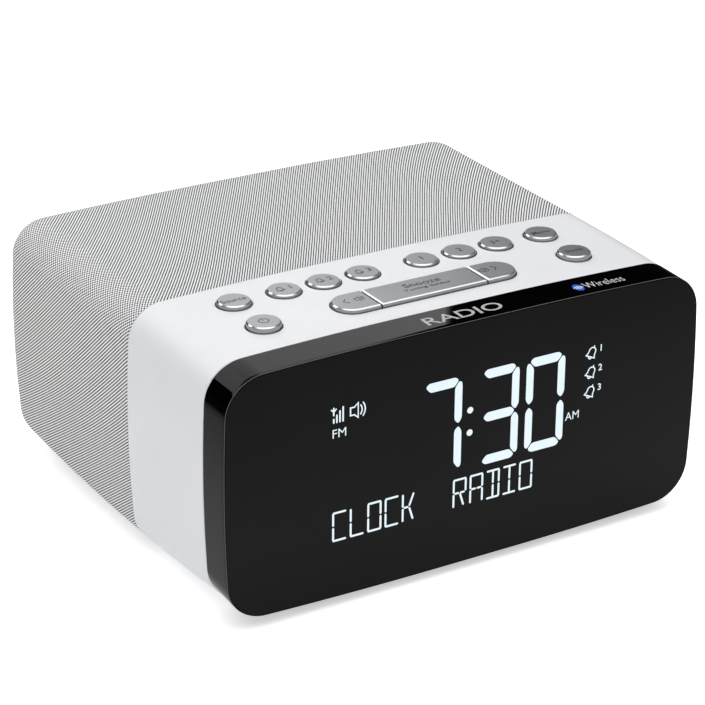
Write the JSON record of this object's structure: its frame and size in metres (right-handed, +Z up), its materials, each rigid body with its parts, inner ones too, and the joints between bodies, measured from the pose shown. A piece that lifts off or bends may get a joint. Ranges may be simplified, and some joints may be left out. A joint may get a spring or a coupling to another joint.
{
  "type": "clock radio",
  "caption": "Bedside clock radio: gloss black display front, white deck of press buttons, cloth-covered rear body with a level charging top.",
  "frame": {"origin": "on the table, under the middle of the body", "axes": "+X to the right of a person facing the display, +Y from the display to the back, +Z up"},
  "size_m": [0.1632, 0.14, 0.0796],
  "materials": {
    "smoked_window": "flat smoked window with lit display characters behind it",
    "gloss_black": "mirror gloss black",
    "white_plastic": "satin white",
    "speaker_cloth": "tight light grey open weave",
    "pale_plastic": "fine spark texture, white",
    "dark_plastic": "moulded, matt",
    "satin_silver": "satin silver paint with bright chamfered rim",
    "black_rubber": "matt",
    "steel": "plated",
    "circuit_board": "green solder mask",
    "display_glass": "dark polished",
    "copper": "enamelled winding",
    "ferrite": "sintered, matt",
    "paper_cone": "pressed paper, matt"
  },
  "bodies": {
    "housing": {"front_lens": "smoked_window", "front_bezel": "gloss_black", "front_shell": "white_plastic", "rear_shell": "dark_plastic", "fabric_wrap": "speaker_cloth", "rear_panel": "pale_plastic", "base_plate": "pale_plastic", "foot_front_left": "black_rubber", "foot_front_right": "black_rubber", "foot_rear_left": "black_rubber", "foot_rear_right": "black_rubber", "base_screw_front_left": "steel", "base_screw_front_right": "steel", "base_screw_rear_left": "steel", "base_screw_rear_right": "steel", "switch_source": "dark_plastic", "switch_alarm_1": "dark_plastic", "switch_alarm_2": "dark_plastic", "switch_alarm_3": "dark_plastic", "switch_preset_1": "dark_plastic", "switch_preset_2": "dark_plastic", "switch_preset_3": "dark_plastic", "switch_menu": "dark_plastic", "switch_power": "dark_plastic", "switch_sleep": "dark_plastic", "switch_volume_down": "dark_plastic", "switch_snooze": "dark_plastic", "switch_volume_up": "dark_plastic", "button_board": "circuit_board", "display_panel": "display_glass", "display_frame": "dark_plastic", "display_board": "circuit_board", "main_board": "circuit_board", "charging_coil": "copper", "ferrite_plate": "ferrite", "coil_tray": "dark_plastic", "charge_board": "circuit_board", "dc_jack": "dark_plastic", "usb_socket": "steel", "aerial_socket": "steel", "speaker_left_basket": "steel", "speaker_left_cone": "paper_cone", "speaker_left_magnet": "ferrite", "speaker_right_basket": "steel", "speaker_right_cone": "paper_cone", "speaker_right_magnet": "ferrite"},
    "button_source": {"button_source": "satin_silver"},
    "button_alarm_1": {"button_alarm_1": "satin_silver"},
    "button_alarm_2": {"button_alarm_2": "satin_silver"},
    "button_alarm_3": {"button_alarm_3": "satin_silver"},
    "button_preset_1": {"button_preset_1": "satin_silver"},
    "button_preset_2": {"button_preset_2": "satin_silver"},
    "button_preset_3": {"button_preset_3": "satin_silver"},
    "button_menu": {"button_menu": "satin_silver"},
    "button_power": {"button_power": "satin_silver"},
    "button_sleep": {"button_sleep": "satin_silver"},
    "key_volume_down": {"key_volume_down": "satin_silver"},
    "key_snooze": {"key_snooze": "satin_silver"},
    "key_volume_up": {"key_volume_up": "satin_silver"}
  },
  "joints": [
    {"name": "button_source_press", "type": "slide", "parent": "housing", "child": "button_source", "axis": [0, 0, -1], "range_m": [0, 0.0006], "stiffness_N_per_m": 800, "springref_m": -0.0006},
    {"name": "button_alarm_1_press", "type": "slide", "parent": "housing", "child": "button_alarm_1", "axis": [0, 0, -1], "range_m": [0, 0.0006], "stiffness_N_per_m": 800, "springref_m": -0.0006},
    {"name": "button_alarm_2_press", "type": "slide", "parent": "housing", "child": "button_alarm_2", "axis": [0, 0, -1], "range_m": [0, 0.0006], "stiffness_N_per_m": 800, "springref_m": -0.0006},
    {"name": "button_alarm_3_press", "type": "slide", "parent": "housing", "child": "button_alarm_3", "axis": [0, 0, -1], "range_m": [0, 0.0006], "stiffness_N_per_m": 800, "springref_m": -0.0006},
    {"name": "button_preset_1_press", "type": "slide", "parent": "housing", "child": "button_preset_1", "axis": [0, 0, -1], "range_m": [0, 0.0006], "stiffness_N_per_m": 800, "springref_m": -0.0006},
    {"name": "button_preset_2_press", "type": "slide", "parent": "housing", "child": "button_preset_2", "axis": [0, 0, -1], "range_m": [0, 0.0006], "stiffness_N_per_m": 800, "springref_m": -0.0006},
    {"name": "button_preset_3_press", "type": "slide", "parent": "housing", "child": "button_preset_3", "axis": [0, 0, -1], "range_m": [0, 0.0006], "stiffness_N_per_m": 800, "springref_m": -0.0006},
    {"name": "button_menu_press", "type": "slide", "parent": "housing", "child": "button_menu", "axis": [0, 0, -1], "range_m": [0, 0.0006], "stiffness_N_per_m": 800, "springref_m": -0.0006},
    {"name": "button_power_press", "type": "slide", "parent": "housing", "child": "button_power", "axis": [0, 0, -1], "range_m": [0, 0.0006], "stiffness_N_per_m": 800, "springref_m": -0.0006},
    {"name": "button_sleep_press", "type": "slide", "parent": "housing", "child": "button_sleep", "axis": [0, 0, -1], "range_m": [0, 0.0006], "stiffness_N_per_m": 800, "springref_m": -0.0006},
    {"name": "key_volume_down_press", "type": "slide", "parent": "housing", "child": "key_volume_down", "axis": [0, 0, -1], "range_m": [0, 0.0006], "stiffness_N_per_m": 800, "springref_m": -0.0006},
    {"name": "key_snooze_press", "type": "slide", "parent": "housing", "child": "key_snooze", "axis": [0, 0, -1], "range_m": [0, 0.0006], "stiffness_N_per_m": 800, "springref_m": -0.0006},
    {"name": "key_volume_up_press", "type": "slide", "parent": "housing", "child": "key_volume_up", "axis": [0, 0, -1], "range_m": [0, 0.0006], "stiffness_N_per_m": 800, "springref_m": -0.0006}
  ]
}
